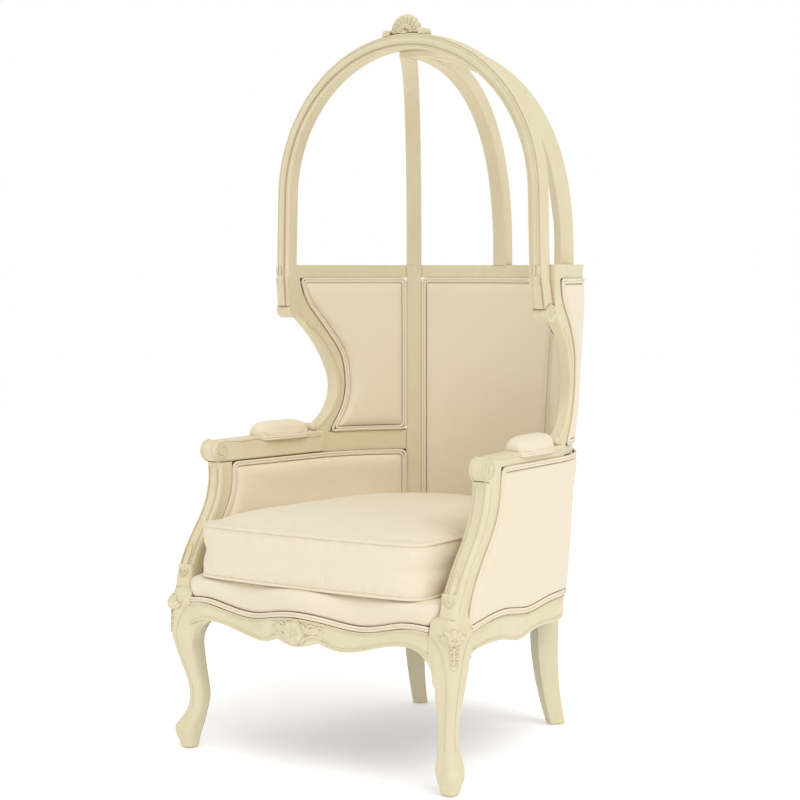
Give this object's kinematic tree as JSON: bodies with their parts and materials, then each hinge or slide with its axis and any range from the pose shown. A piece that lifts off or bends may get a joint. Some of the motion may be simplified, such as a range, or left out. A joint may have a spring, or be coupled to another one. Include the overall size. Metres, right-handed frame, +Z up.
{
  "type": "throne chair",
  "caption": "Barrel-back throne chair with a carved painted frame, open ribbed dome over the seat, padded wings and arms, and a loose seat cushion.",
  "frame": {"origin": "centre of the overall box, at floor level", "axes": "+Z up, the chair faces -Y, +X to the right of someone who faces its back"},
  "size_m": [0.8032, 0.8502, 1.6795],
  "materials": {
    "painted_wood": "aged cream paint, satin, rubbed on the edges",
    "linen": "plain woven linen, matte",
    "welt_linen": "linen covered cord, matte",
    "beech": "bare beech",
    "jute_webbing": "woven jute",
    "dust_cloth": "thin black cloth",
    "screw_steel": "zinc plated",
    "glide_plastic": "hard nylon"
  },
  "bodies": {
    "frame": {"arch_left": "painted_wood", "arch_plugs": "painted_wood", "arch_right": "painted_wood", "arch_screws": "screw_steel", "arm_left": "painted_wood", "arm_pad_left": "linen", "arm_pad_right": "linen", "arm_right": "painted_wood", "arm_support_left": "painted_wood", "arm_support_right": "painted_wood", "back_inner_pad": "linen", "back_inner_welt": "welt_linen", "back_outer_pad": "linen", "back_outer_welt": "welt_linen", "back_seat_rail": "painted_wood", "corner_blocks": "beech", "dust_cover": "dust_cloth", "foot_glides": "glide_plastic", "frame_dowels": "beech", "front_leg_left": "painted_wood", "front_leg_right": "painted_wood", "front_seat_rail": "painted_wood", "mid_rail_left": "painted_wood", "mid_rail_right": "painted_wood", "rear_post_left": "painted_wood", "rear_post_right": "painted_wood", "rib_centre": "painted_wood", "rib_left": "painted_wood", "rib_right": "painted_wood", "seat_deck": "linen", "seat_rail_welt": "welt_linen", "seat_webbing": "jute_webbing", "shell_finial": "painted_wood", "side_inner_pad_left": "linen", "side_inner_pad_right": "linen", "side_inner_welt_left": "welt_linen", "side_inner_welt_right": "welt_linen", "side_outer_pad_left": "linen", "side_outer_pad_right": "linen", "side_outer_welt_left": "welt_linen", "side_outer_welt_right": "welt_linen", "side_seat_rail_left": "painted_wood", "side_seat_rail_right": "painted_wood", "top_rail_back": "painted_wood", "top_rail_left": "painted_wood", "top_rail_right": "painted_wood", "wing_inner_pad_left": "linen", "wing_inner_pad_right": "linen", "wing_inner_welt_left": "welt_linen", "wing_inner_welt_right": "welt_linen", "wing_outer_pad_left": "linen", "wing_outer_pad_right": "linen", "wing_outer_welt_left": "welt_linen", "wing_outer_welt_right": "welt_linen", "wing_post_left": "painted_wood", "wing_post_right": "painted_wood"},
    "seat_cushion": {"seat_cushion": "linen"}
  },
  "joints": [
    {"name": "cushion_lift", "type": "slide", "parent": "frame", "child": "seat_cushion", "axis": [0, 0, 1], "range_m": [0, 0.34]}
  ]
}
